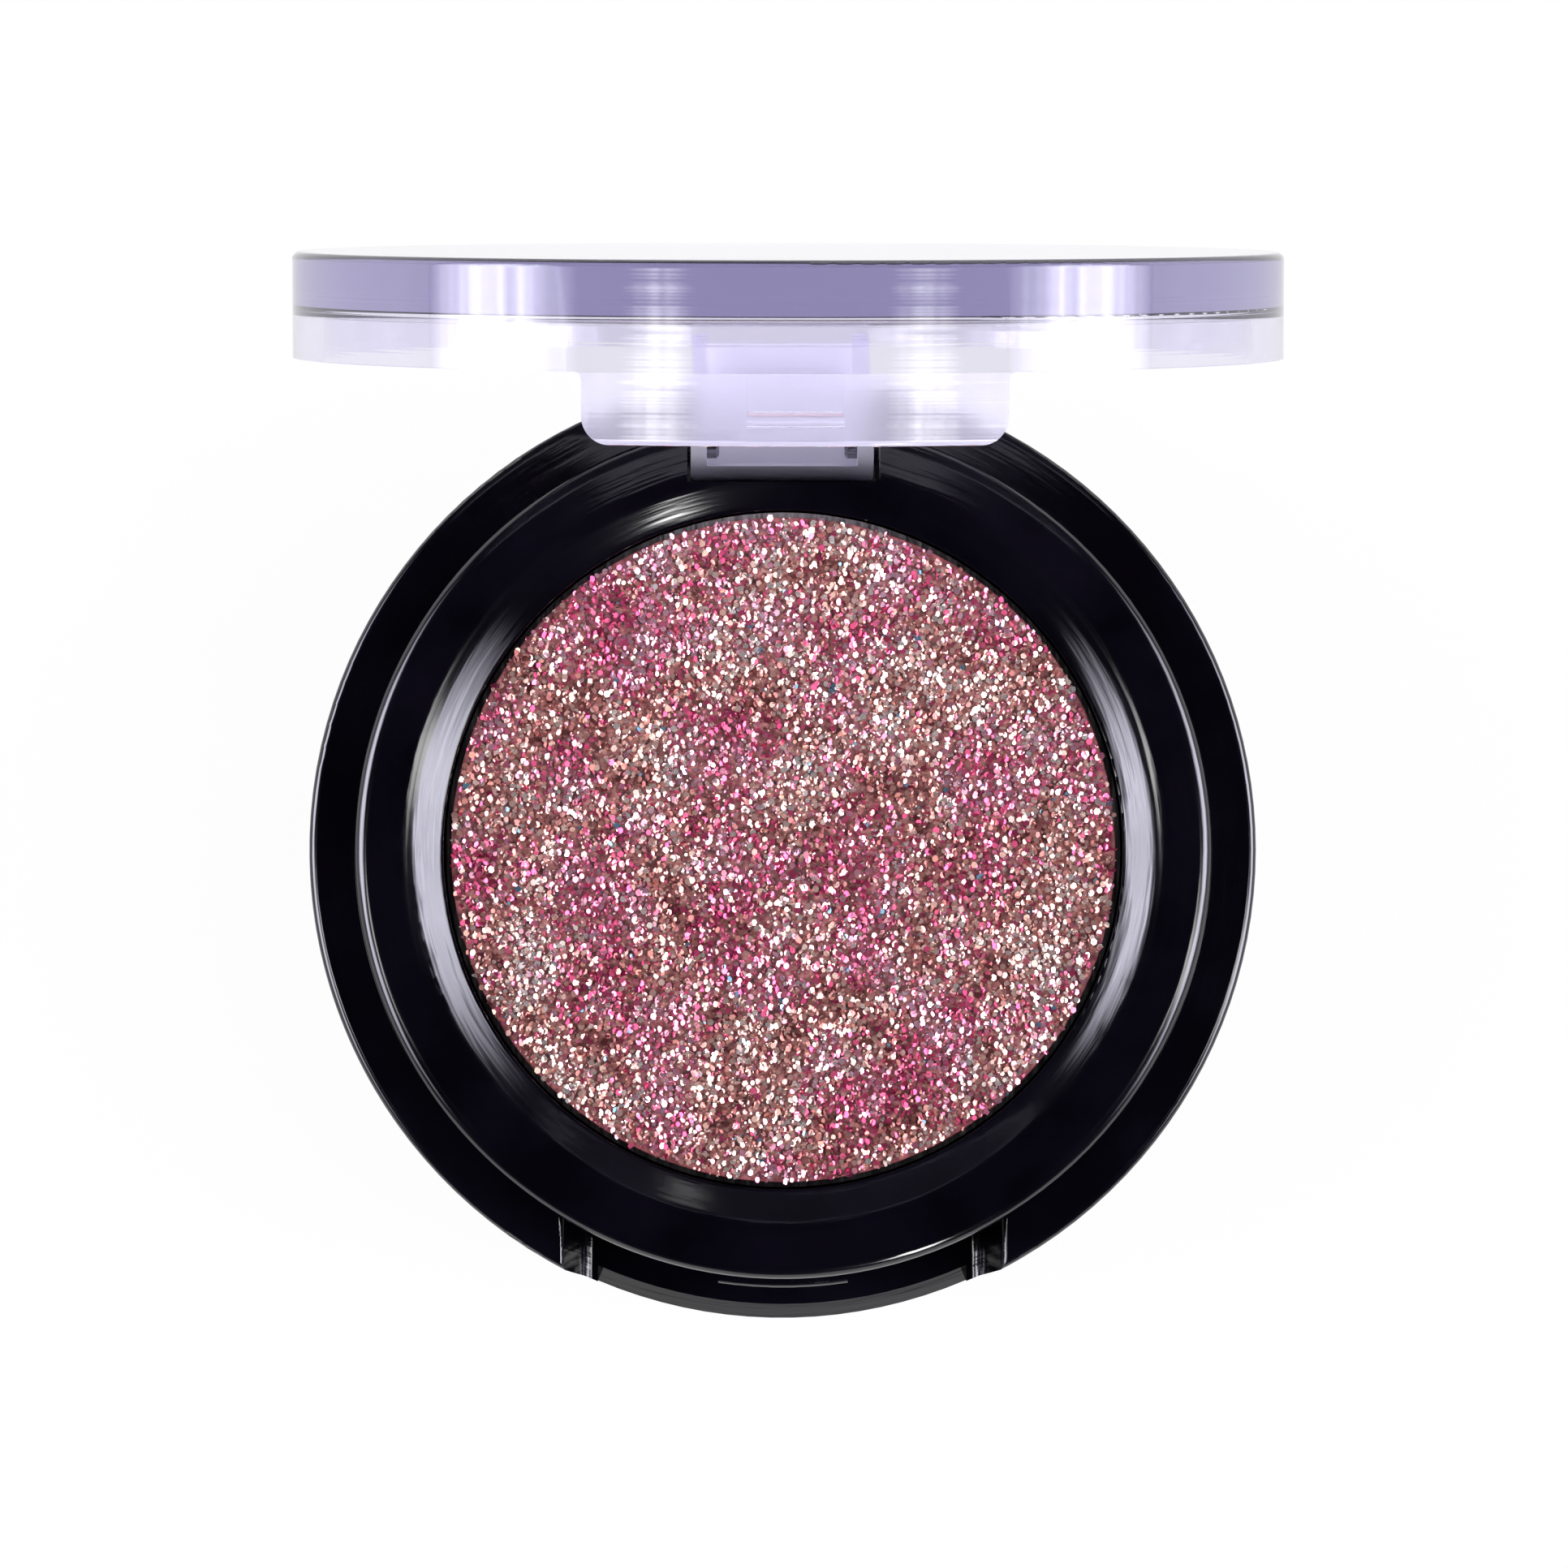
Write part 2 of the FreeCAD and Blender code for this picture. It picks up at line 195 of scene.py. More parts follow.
for name, azimuth in (("low_right", 0), ("low_left", 180)):
    softbox(
        name, azimuth, elevation=24, distance=250 * MM, width=400 * MM, height=190 * MM,
        brightness=20.0, tint=COOL_CLOTH)
for name, azimuth, elevation, height in (
    ("high_right", -15, 42, 200 * MM), ("high_left", 195, 59, 150 * MM), ("top_right", -15, 59, 150 * MM),
):
    softbox(
        name, azimuth, elevation, distance=400 * MM, width=110 * MM, height=height,
        brightness=13.0, tint=WHITE_CLOTH)
softbox(
    "small_front", azimuth=-71, elevation=22, distance=250 * MM, width=44 * MM, height=70 * MM,
    brightness=45.0, tint=WHITE_CLOTH)
print("lamps:", [lamp.name for lamp in bpy.data.lights])

# %% [markdown]
# ## Room and floor
# The photograph's ground is pure white, but white all round would turn the black plastic grey. So the
# ground is white where it is seen straight or through the clear lid, and what the black mirrors above the
# floor is a dim room with pale walls and a dark ceiling. A dark flag stands behind the lid, because
# through the lid the funnel would mirror the white as a grey haze. The floor is white card that mostly
# glows, so that it stays white far from the lamps and takes only faint shadows.

# %% World and floor
WALL_TOP = 0.45                     # sine of the elevation where the pale walls end
FLAG_RISE = math.radians(24)        # elevation of the flag's middle
FLAG_CORE = 0.72                    # cosine of the angle from there, up to which the flag is fully dark
FLAG_RIM = 0.55                     # and past which the ground is white again
world = bpy.data.worlds.new("pale_walls_dark_ceiling")
world.use_nodes = True
scene.world = world
tree = world.node_tree
tree.nodes.clear()
paths = add(tree, "ShaderNodeLightPath")
outlook = add(tree, "ShaderNodeTexCoord").outputs["Generated"]
direction = add(tree, "ShaderNodeSeparateXYZ", {0: outlook})
walls = add(tree, "ShaderNodeValToRGB", {0: direction.outputs["Z"]})
set_ramp(walls, (0.0, "#56545E"), (WALL_TOP, "#0B0A0E"))
room = add(tree, "ShaderNodeBackground", {"Color": walls.outputs["Color"], "Strength": 1.0})
backdrop = add(tree, "ShaderNodeBackground", {"Color": linear("#FFFFFF"), "Strength": 1.0})
towards_flag = add(tree, "ShaderNodeVectorMath", {
    0: outlook, 1: (0, math.cos(FLAG_RISE), math.sin(FLAG_RISE))}, operation="DOT_PRODUCT")
beside_flag = add(tree, "ShaderNodeMapRange", {
    "Value": towards_flag.outputs["Value"], "From Min": FLAG_CORE, "From Max": FLAG_RIM})
through = add(tree, "ShaderNodeMath", {
    0: paths.outputs["Is Transmission Ray"], 1: beside_flag.outputs["Result"]}, operation="MULTIPLY")
seen = add(tree, "ShaderNodeMath", {
    0: paths.outputs["Is Camera Ray"], 1: through.outputs[0]}, operation="MAXIMUM")
mixed = add(tree, "ShaderNodeMixShader", {
    0: seen.outputs[0], 1: room.outputs[0], 2: backdrop.outputs[0]})
add(tree, "ShaderNodeOutputWorld", {"Surface": mixed.outputs[0]})

FLOOR_SIDE = 3000 * MM
FLOOR_GLOW = 0.94                   # share of the floor's white that needs no lamp
floor_finish, tree = new_finish("white_card")
paths = add(tree, "ShaderNodeLightPath")
card = add(tree, "ShaderNodeBsdfDiffuse", {"Color": linear("#F4F4F4")})
glow = add(tree, "ShaderNodeEmission", {"Color": linear("#FFFFFF"), "Strength": 1.0})
straight = add(tree, "ShaderNodeMath", {
    0: paths.outputs["Is Camera Ray"], 1: paths.outputs["Is Transmission Ray"]}, operation="MAXIMUM")
seen = add(tree, "ShaderNodeMath", {
    0: straight.outputs[0], 1: paths.outputs["Is Glossy Ray"]}, operation="MAXIMUM")
share = add(tree, "ShaderNodeMath", {0: seen.outputs[0], 1: FLOOR_GLOW}, operation="MULTIPLY")
surface = add(tree, "ShaderNodeMixShader", {0: share.outputs[0], 1: card.outputs[0], 2: glow.outputs[0]})
add(tree, "ShaderNodeOutputMaterial", {"Surface": surface.outputs[0]})

floor_mesh = bpy.data.meshes.new("floor")
corner = FLOOR_SIDE / 2
floor_mesh.from_pydata(
    [(-corner, -corner, 0), (corner, -corner, 0), (corner, corner, 0), (-corner, corner, 0)],
    [], [(0, 1, 2, 3)])
floor = bpy.data.objects.new("floor", floor_mesh)
floor_mesh.materials.append(floor_finish)
scene.collection.objects.link(floor)
print("floor side in m:", FLOOR_SIDE)

# %% [markdown]
# ## Smooth skins
# The solids arrive as loose triangles, one patch for each face, and where a rounded edge meets a flat the
# two patches shade a little differently. On gloss black that shows as a saw edge. A finer mesh would cost
# far more faces than it needs, so a copy is welded, its true corners are marked sharp, and its normals are
# weighted by the size of the faces. Flats then stay flat, and light runs smoothly over the rounds.
# The narrow rounds along the ledge, the collar and the lid's face are turned shapes, so there the normal is
# known exactly: it points away from the middle of the round. Those corners get it instead.

# %% Weld and weight
WELD = 0.0005 * MM
CORNER = math.radians(32)           # edges that turn by more stay sharp
ROUND_MISS = 0.03 * MM              # how far a point of the mesh may lie off its round


def true_round(piece, outside, size, foot=Vector((0, 0, 0)), axis=Vector((0, 0, 1))):
    """Gives the round along a turned piece's top edge its exact normals, and keeps the others."""
    data = piece.data
    shaded = piece.evaluated_get(bpy.context.evaluated_depsgraph_get()).data
    normals = [corner.vector.copy() for corner in shaded.corner_normals]
    top = max(axis.dot(vertex.co - foot) for vertex in data.vertices)
    exact = {}
    for vertex in data.vertices:
        height = axis.dot(vertex.co - foot)
        spoke = vertex.co - foot - axis * height
        across = spoke.length - (outside - size)
        up = height - (top - size)
        off_round = abs(math.hypot(across, up) - size)
        if min(across, up) > -ROUND_MISS and off_round < ROUND_MISS:
            exact[vertex.index] = (spoke.normalized() * across + axis * up).normalized()
    for face in data.polygons:
        on_round = all(index in exact for index in face.vertices)
        for corner, index in zip(face.loop_indices, face.vertices):
            if index in exact and (on_round or exact[index].angle(face.normal) < CORNER):
                normals[corner] = exact[index]
    data.normals_split_custom_set(normals)
    piece.modifiers.clear()
    print(piece.name, "points on the round:", len(exact), "of", len(data.vertices))


def skin_of(node, body, finish, cut=None):
    """A welded copy of a solid's mesh, which stands for it. A cut is a plane's point and normal."""
    mesh = bmesh.new()
    mesh.from_mesh(nodes[node].data)
    bmesh.ops.remove_doubles(mesh, verts=mesh.verts, dist=WELD)
    if cut:
        everything = [*mesh.verts, *mesh.edges, *mesh.faces]
        bmesh.ops.bisect_plane(mesh, geom=everything, dist=WELD, plane_co=cut[0], plane_no=cut[1])
    for edge in mesh.edges:
        edge.smooth = edge.calc_face_angle(0) < CORNER
    for face in mesh.faces:
        face.smooth = True
    data = bpy.data.meshes.new(node + "_skin")
    mesh.to_mesh(data)
    open_edges = sum(not edge.is_manifold for edge in mesh.edges)
    mesh.free()
    if "custom_normal" in data.attributes:
        data.attributes.remove(data.attributes["custom_normal"])
    data.materials.clear()
    data.materials.append(finish)
    piece = bpy.data.objects.new(node + "_skin", data)
    scene.collection.objects.link(piece)
    weights = piece.modifiers.new("weighted_normals", "WEIGHTED_NORMAL")
    weights.mode = "FACE_AREA_WITH_ANGLE"
    weights.keep_sharp = True
    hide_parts(node)
    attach(piece, body)
    print(piece.name, "faces:", len(data.polygons), "open edges:", open_edges)
    return piece


# %% [markdown]
# ## Black case
# Base and frame are ABS, injection moulded in a polished tool. The eye gets a deep black with a violet
# cast and sharp reflections that waver a little, because the skin over a moulding is never quite flat.
# A plain dark colour would look like a hole, so a faint waviness goes into the bump and a haze into the
# roughness. The tool was polished on a lathe, which leaves faint marks that run round the piece. They draw
# the streaks inside the bright crescents. Their noise reads the direction and the distance from the axis,
# with no angle in it, so it has no seam.

# %% Black plastic
WAVE_SIZE = 2.5 * MM                # waviness of the moulded skin
WAVE_DEPTH = 0.01 * MM
HAZE_SIZE = 5.0 * MM                # patches where handling dulls the gloss
LATHE_MARK = 0.35 * MM              # spacing of the lathe's marks, coarser than real so that they show
MARK_DEPTH = 0.05 * MM
MARK_TURN = 3.0                     # marks wander this many times in a radian
abs_finish, tree = new_finish("gloss_black_abs_moulded")
place = add(tree, "ShaderNodeTexCoord").outputs["Object"]
wave = add(tree, "ShaderNodeTexNoise", {"Vector": place, "Scale": 1 / WAVE_SIZE, "Detail": 1.0})
haze = add(tree, "ShaderNodeTexNoise", {"Vector": place, "Scale": 1 / HAZE_SIZE, "Detail": 4.0})
tint = add(tree, "ShaderNodeValToRGB", {0: haze.outputs["Fac"]})
set_ramp(tint, (0.35, "#040307"), (0.7, "#0A0810"))
gloss = add(tree, "ShaderNodeMapRange", {
    "Value": haze.outputs["Fac"], "From Min": 0.3, "From Max": 0.75, "To Min": 0.1, "To Max": 0.16})
level = add(tree, "ShaderNodeVectorMath", {0: place, 1: (1, 1, 0)}, operation="MULTIPLY")
reach = add(tree, "ShaderNodeVectorMath", {0: level.outputs[0]}, operation="LENGTH")
heading = add(tree, "ShaderNodeVectorMath", {0: level.outputs[0]}, operation="NORMALIZE")
turning = add(tree, "ShaderNodeVectorMath", {0: heading.outputs[0], "Scale": MARK_TURN}, operation="SCALE")
ring = add(tree, "ShaderNodeMath", {0: reach.outputs["Value"], 1: 1 / LATHE_MARK}, operation="MULTIPLY")
outwards = add(tree, "ShaderNodeCombineXYZ", {2: ring.outputs[0]})
spiral = add(tree, "ShaderNodeVectorMath", {0: turning.outputs[0], 1: outwards.outputs[0]})
marks = add(tree, "ShaderNodeTexNoise", {"Vector": spiral.outputs[0], "Scale": 1.0, "Detail": 2.0})
waviness = add(tree, "ShaderNodeBump", {
    "Height": wave.outputs["Fac"], "Strength": 0.15, "Distance": WAVE_DEPTH})
bump = add(tree, "ShaderNodeBump", {
    "Height": marks.outputs["Fac"], "Normal": waviness.outputs[0],
    "Strength": 0.4, "Distance": MARK_DEPTH})
plastic = add(tree, "ShaderNodeBsdfPrincipled", {
    "Base Color": tint.outputs["Color"], "Roughness": gloss.outputs["Result"],
    "Normal": bump.outputs["Normal"], "IOR": 1.54, "Specular IOR Level": 0.55})
add(tree, "ShaderNodeOutputMaterial", {"Surface": plastic.outputs[0]})
print("nodes in", abs_finish.name + ":", len(tree.nodes))

# %% Base and frame
LEDGE_ROUND = 0.35 * MM             # rounded edge of the ledge
COLLAR_ROUND = 0.6 * MM             # rounded edge of the collar
SNAP_RING = 0.15 * MM               # ring round the frame's skirt, which stands out further than the collar
frame_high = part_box("pan_frame")[1]
base_skin = skin_of("base_shell", "base", abs_finish)
true_round(base_skin, base_high.x, LEDGE_ROUND)
frame_skin = skin_of("pan_frame", "base", abs_finish)
true_round(frame_skin, frame_high.x - SNAP_RING, COLLAR_ROUND)

# %% [markdown]
# ## Clear lid
# The lid is clear polystyrene with a trace of violet toner, which makers add to hide its yellow. A thin
# wall shows only a faint cast. The face is seen edge-on, so the view runs through 38 mm of plastic and the
# toner adds up to a lilac grey. Painting that band would be wrong from every other side, so the tint is an
# absorption inside the plastic. Outside, the tool is polished, with fine lines round the edge. All over the
# lug it is satin, and inside the tab partly so, which makes hinge and latch look milky through the clear
# outer skin, and the polished steps in the tab show as lines. The mesh carries that as an attribute of its
# faces, because a position alone can't tell inside from outside.

# %% Satin faces
SATIN_LEVEL = 4.0 * MM              # above the hinge axis when shut, just under the rim
LUG_SPAN = 8.0 * MM                 # from the middle of the hinge
TAB_SATIN = 0.38                    # share of the full satin inside the tab
FACES_DOWN = -0.5                   # the tab's inner normals have a lower z, because the lid stands open
hinge = frame["joints"][0]
hinge_middle = Vector(hinge["pos_m"])
opening = math.radians(-hinge["range_deg"][0])
face_normal = Vector((0, math.sin(opening), math.cos(opening)))
satin_top = hinge_middle + face_normal * SATIN_LEVEL


def mark_satin(data):
    """Marks the lug as satin, and the inside of the tab as partly satin."""
    satin = data.attributes.new("satin", "FLOAT", "FACE")
    for face in data.polygons:
        if face_normal.dot(face.center - satin_top) < 0:
            if (face.center - hinge_middle).length < LUG_SPAN:
                satin.data[face.index].value = 1.0
            elif face.normal.z < FACES_DOWN:
                satin.data[face.index].value = TAB_SATIN
    print("satin faces:", sum(entry.value > 0 for entry in satin.data), "of", len(data.polygons))


# %% Clear styrene
FLOW_SIZE = 6.0 * MM                # flow waves of the moulding
LINE_SIZE = 0.45 * MM               # polishing lines round the edge, coarser than real so that they show
RELIEF_DEPTH = 0.02 * MM
WALL_TINT = "#EBE9F3"               # white seen through one wall
TONER_DENSITY = 31.4                # per metre, in the colour that it takes out most
TONER_COLOUR = "#4B00AD"            # lowest in the colour that it takes out most
POLISH_HAZE = 0.02                  # share of light that each kind of skin scatters
SATIN_HAZE = 0.95

styrene_finish, tree = new_finish("clear_polystyrene_moulded")
place = add(tree, "ShaderNodeTexCoord").outputs["Object"]
flow = add(tree, "ShaderNodeTexNoise", {"Vector": place, "Scale": 1 / FLOW_SIZE, "Detail": 2.0})
satin = add(tree, "ShaderNodeAttribute", attribute_name="satin").outputs["Fac"]
clearness = add(tree, "ShaderNodeMapRange", {
    "Value": satin, "To Min": 1 - POLISH_HAZE, "To Max": 1 - SATIN_HAZE})
gloss = add(tree, "ShaderNodeMapRange", {"Value": satin, "To Min": 0.04, "To Max": 0.35})
above = add(tree, "ShaderNodeVectorMath", {0: place, 1: face_normal}, operation="DOT_PRODUCT")
lines = add(tree, "ShaderNodeTexNoise", {
    "W": above.outputs["Value"], "Scale": 1 / LINE_SIZE, "Detail": 2.0}, noise_dimensions="1D")
relief = add(tree, "ShaderNodeMath", {0: flow.outputs["Fac"], 1: lines.outputs["Fac"]})
bump = add(tree, "ShaderNodeBump", {
    "Height": relief.outputs[0], "Strength": 0.3, "Distance": RELIEF_DEPTH})
clear = add(tree, "ShaderNodeBsdfPrincipled", {
    "Base Color": linear(WALL_TINT), "Roughness": gloss.outputs["Result"],
    "Normal": bump.outputs["Normal"], "IOR": 1.57, "Transmission Weight": clearness.outputs["Result"]})
toner = add(tree, "ShaderNodeVolumeAbsorption", {
    "Color": linear(TONER_COLOUR), "Density": TONER_DENSITY})
add(tree, "ShaderNodeOutputMaterial", {"Surface": clear.outputs[0], "Volume": toner.outputs[0]})
print("nodes in", styrene_finish.name + ":", len(tree.nodes))

# %% Lid
LID_ROUND = 0.3 * MM                # rounded edge of the lid's face
from_hinge = Vector((0, -math.cos(opening), math.sin(opening)))
lid_middle = hinge_middle + from_hinge * hinge["pos_m"][1]
lid_skin = skin_of("lid", "lid", styrene_finish, (satin_top, face_normal))
true_round(lid_skin, base_high.x, LID_ROUND, lid_middle, face_normal)
mark_satin(lid_skin.data)
# Clear plastic lets the lamps through, and a traced shadow would stop them.
lid_skin.visible_shadow = False

# %% [markdown]
# ## Pan, pins and glue
# The pan is pressed from aluminium sheet, and only its cut rim shows, a thin pale line round the cake.
# The pins are drawn steel wire with fine lines along them. The glue under the pan is hot melt, milky and
# soft-looking. One flat grey would make both metals look painted, so they get a fine pattern in colour and
# roughness, at the size of the marks that their making leaves. The glue gets soft clouds in its colour.

# %% Aluminium, steel and glue
ROLL_MARK = 0.12 * MM               # spacing of the marks in rolled sheet
DRAW_MARK = 0.08 * MM               # spacing of the lines along drawn wire
MARK_SPREAD = 0.3                   # share by which the marks change the roughness
GLUE_CLOUD = 1.5 * MM               # milky clouds in the glue


def streaked_metal(name, dark, pale, stretch, spacing, rough):
    """A metal with fine marks, drawn out along one axis by its making."""
    material, tree = new_finish(name)
    place = add(tree, "ShaderNodeTexCoord").outputs["Object"]
    drawn = add(tree, "ShaderNodeMapping", {"Vector": place, "Scale": stretch})
    marks = add(tree, "ShaderNodeTexNoise", {
        "Vector": drawn.outputs[0], "Scale": 1 / spacing, "Detail": 3.0})
    tone = add(tree, "ShaderNodeValToRGB", {0: marks.outputs["Fac"]})
    set_ramp(tone, (NOISE_LOW, dark), (NOISE_HIGH, pale))
    gloss = add(tree, "ShaderNodeMapRange", {
        "Value": marks.outputs["Fac"], "From Min": NOISE_LOW, "From Max": NOISE_HIGH,
        "To Min": rough * (1 - MARK_SPREAD), "To Max": rough * (1 + MARK_SPREAD)})
    metal = add(tree, "ShaderNodeBsdfPrincipled", {
        "Base Color": tone.outputs["Color"], "Metallic": 1.0, "Roughness": gloss.outputs["Result"]})
    add(tree, "ShaderNodeOutputMaterial", {"Surface": metal.outputs[0]})
    return material


nodes["powder_pan"].data.materials[0] = streaked_metal(
    "aluminium_sheet_rolled", "#B9B0AE", "#DCD4D0", (1, 0.05, 1), ROLL_MARK, 0.15)
pin_finish = streaked_metal("steel_wire_drawn", "#77747A", "#A9A6AC", (0.05, 1, 1), DRAW_MARK, 0.3)
for name in ("hinge_pin_left", "hinge_pin_right"):
    nodes[name].data.materials[0] = pin_finish

glue_finish, tree = new_finish("hot_melt_glue_set")
place = add(tree, "ShaderNodeTexCoord").outputs["Object"]
clouds = add(tree, "ShaderNodeTexNoise", {"Vector": place, "Scale": 1 / GLUE_CLOUD, "Detail": 3.0})
tone = add(tree, "ShaderNodeValToRGB", {0: clouds.outputs["Fac"]})
set_ramp(tone, (NOISE_LOW, "#D8D2BE"), (NOISE_HIGH, "#EFEBDD"))
wax = add(tree, "ShaderNodeBsdfPrincipled", {
    "Base Color": tone.outputs["Color"], "Roughness": 0.45, "IOR": 1.48})
add(tree, "ShaderNodeOutputMaterial", {"Surface": wax.outputs[0]})
nodes["pan_glue"].data.materials[0] = glue_finish
print("metal on pan and pins, glue under the pan")

# %% [markdown]
# ## Glitter bed
# The cake is glitter and binder pressed into the pan. Between the flakes a brown, grainy bed shows, and
# along the wall of the pan the press leaves a bare reddish edge, smeared over the rim. The solid's flat
# top would look like paper, so the bed is a finer disc with grains, made ring by ring and closed below.

# %% Bed mesh
EDGE_ROUND = 0.12 * MM              # rounded edge of the bed
GRAIN_SIZE = 0.22 * MM              # pressed grains
GRAIN_HEIGHT = 0.05 * MM
SWELL_SIZE = 3.0 * MM               # slow swells that the press leaves
SWELL_HEIGHT = 0.04 * MM
RELIEF = GRAIN_HEIGHT + SWELL_HEIGHT
BED_PROUD = 0.02 * MM               # how far the highest grains stand above the pan's rim
RIM_BARE = 0.06 * MM                # strip of the pan's rim that stays free of pigment
RINGS = 66
EDGE_STEPS = 5
SPOKES = 220

cake_low, cake_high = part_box("eyeshadow_cake")
pan_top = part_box("powder_pan")[1]
bed_top = pan_top.z + BED_PROUD
bed_level = bed_top - RELIEF        # lowest level between the grains
bed_radius = pan_top.x - RIM_BARE
flat_radius = bed_radius - EDGE_ROUND


def bed_profile():
    """Radius and height of each ring, from the middle outwards, down the edge and to the foot."""
    for step in range(1, RINGS + 1):
        yield flat_radius * step / RINGS, bed_level
    for step in range(1, EDGE_STEPS + 1):
        angle = math.pi / 2 * step / EDGE_STEPS
        drop = (EDGE_ROUND - RELIEF) * (1 - math.cos(angle))
        yield flat_radius + EDGE_ROUND * math.sin(angle), bed_level - drop
    yield cake_high.x, cake_high.z - EDGE_ROUND
    yield cake_high.x, cake_low.z


def grain(x, y):
    """Height of the pressed grains above the lowest level of the bed."""
    fine = noise.noise(Vector((x, y, 0)) / GRAIN_SIZE)
    swell = noise.noise(Vector((x, y, 1)) / SWELL_SIZE)
    return GRAIN_HEIGHT * (0.5 + 0.5 * fine) + SWELL_HEIGHT * (0.5 + 0.5 * swell)


def make_bed():
    """The bed as a closed mesh: rings of points from the middle of the top to the middle of the foot."""
    mesh = bmesh.new()
    middle = mesh.verts.new((0, 0, bed_level + grain(0, 0)))
    rows = []
    for radius, height in bed_profile():
        row = []
        for spoke in range(SPOKES):
            turn = math.tau * spoke / SPOKES
            x = radius * math.cos(turn)
            y = radius * math.sin(turn)
            lift = grain(x, y) if radius <= flat_radius else 0
            row.append(mesh.verts.new((x, y, height + lift)))
        rows.append(row)
    foot = mesh.verts.new((0, 0, cake_low.z))
    for spoke in range(SPOKES):
        following = (spoke + 1) % SPOKES
        mesh.faces.new((middle, rows[0][spoke], rows[0][following]))
        mesh.faces.new((foot, rows[-1][following], rows[-1][spoke]))
        for inner, outer in zip(rows, rows[1:]):
            mesh.faces.new((inner[spoke], outer[spoke], outer[following], inner[following]))
    data = bpy.data.meshes.new("glitter_bed")
    mesh.to_mesh(data)
    mesh.free()
    data.shade_smooth()
    return data


bed = bpy.data.objects.new("glitter_bed", make_bed())
scene.collection.objects.link(bed)
print("bed faces:", len(bed.data.polygons))

# %% Bed finish
# Binder and fine pigment, pressed: matt and brown, redder towards the bare edge.
CLOD_SIZE = 0.35 * MM               # clods of binder and pigment
CLOD_DEPTH = 0.05 * MM
BARE_EDGE = 0.4 * MM                # strip along the wall where the red begins
RED_EDGE = 0.08 * MM                # strip that is all red
bed_finish, tree = new_finish("pressed_pigment_matt")
place = add(tree, "ShaderNodeTexCoord").outputs["Object"]
clods = add(tree, "ShaderNodeTexNoise", {"Vector": place, "Scale": 1 / CLOD_SIZE, "Detail": 5.0})
brown = add(tree, "ShaderNodeValToRGB", {0: clods.outputs["Fac"]})
set_ramp(brown, (0.3, "#3C1E1C"), (0.5, "#7C4642"), (0.72, "#BC8076"))
red = add(tree, "ShaderNodeValToRGB", {0: clods.outputs["Fac"]})
set_ramp(red, (NOISE_LOW, "#6A2A30"), (NOISE_HIGH, "#A04A50"))
level = add(tree, "ShaderNodeVectorMath", {0: place, 1: (1, 1, 0)}, operation="MULTIPLY")
reach = add(tree, "ShaderNodeVectorMath", {0: level.outputs[0]}, operation="LENGTH")
edge = add(tree, "ShaderNodeMapRange", {
    "Value": reach.outputs["Value"],
    "From Min": bed_radius - BARE_EDGE, "From Max": bed_radius - RED_EDGE})
tone = add(tree, "ShaderNodeMix", {
    0: edge.outputs["Result"], 6: brown.outputs["Color"], 7: red.outputs["Color"]}, data_type="RGBA")
bump = add(tree, "ShaderNodeBump", {
    "Height": clods.outputs["Fac"], "Strength": 0.8, "Distance": CLOD_DEPTH})
pigment = add(tree, "ShaderNodeBsdfPrincipled", {
    "Base Color": tone.outputs[2], "Roughness": 0.6, "Normal": bump.outputs["Normal"]})
add(tree, "ShaderNodeOutputMaterial", {"Surface": pigment.outputs[0]})
bed.data.materials.append(bed_finish)
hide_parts("eyeshadow_cake")
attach(bed, "base")
print("bed replaces eyeshadow_cake")

# %% [markdown]
# ## Glitter flakes
# Glitter is film, metallised on one side and cut into tiny hexagons. Each flake lies at its own tilt, so
# under the lamps a few flash, many glow and the rest stay dark, and that mix is the whole look. A texture
# can't do it, because the flash has to move with the view. Geometry Nodes scatter the flakes over the bed.
# A flake is a six-sided cone with its point down: a closed shape of seven faces, with a flat mirror on top.
# The node tree also gives every flake a tone, and says whether it is rose or blue, for the finish to read.

# %% Flake tree
FLAKE_SIDES = 6
FLAKE_DEPTH = 0.5                   # depth of the cone, in radii of the flake
LEAST_UPWARD = 0.3                  # faces whose normals have a lower z take no flakes
OWN_TONE = 0.8                      # the most that a flake has as a tone of its own
CLUMP_TONE = (-0.3, 0.6)            # the least and the most that its clump adds to that
ROSE_SHARE = (0.12, 0.92)           # share of rose flakes between the rose patches and in them
PATCH_EDGE = (0.42, 0.62)           # noise values where a rose patch begins and where it is full
BLUE_SHARE = 0.006

flake_tree = bpy.data.node_groups.new("scatter_flakes", "GeometryNodeTree")
inputs = {
    name: flake_tree.interface.new_socket(name=name, in_out="INPUT", socket_type=kind)
    for name, kind in (
        ("Geometry", "NodeSocketGeometry"), ("Flakes per square metre", "NodeSocketFloat"),
        ("Smallest radius", "NodeSocketFloat"), ("Largest radius", "NodeSocketFloat"),
        ("Tilt", "NodeSocketFloat"), ("Reach", "NodeSocketFloat"), ("Patch size", "NodeSocketFloat"),
        ("Clump size", "NodeSocketFloat"), ("Seed", "NodeSocketInt"), ("Finish", "NodeSocketMaterial"))}
flake_tree.interface.new_socket(name="Geometry", in_out="OUTPUT", socket_type="NodeSocketGeometry")


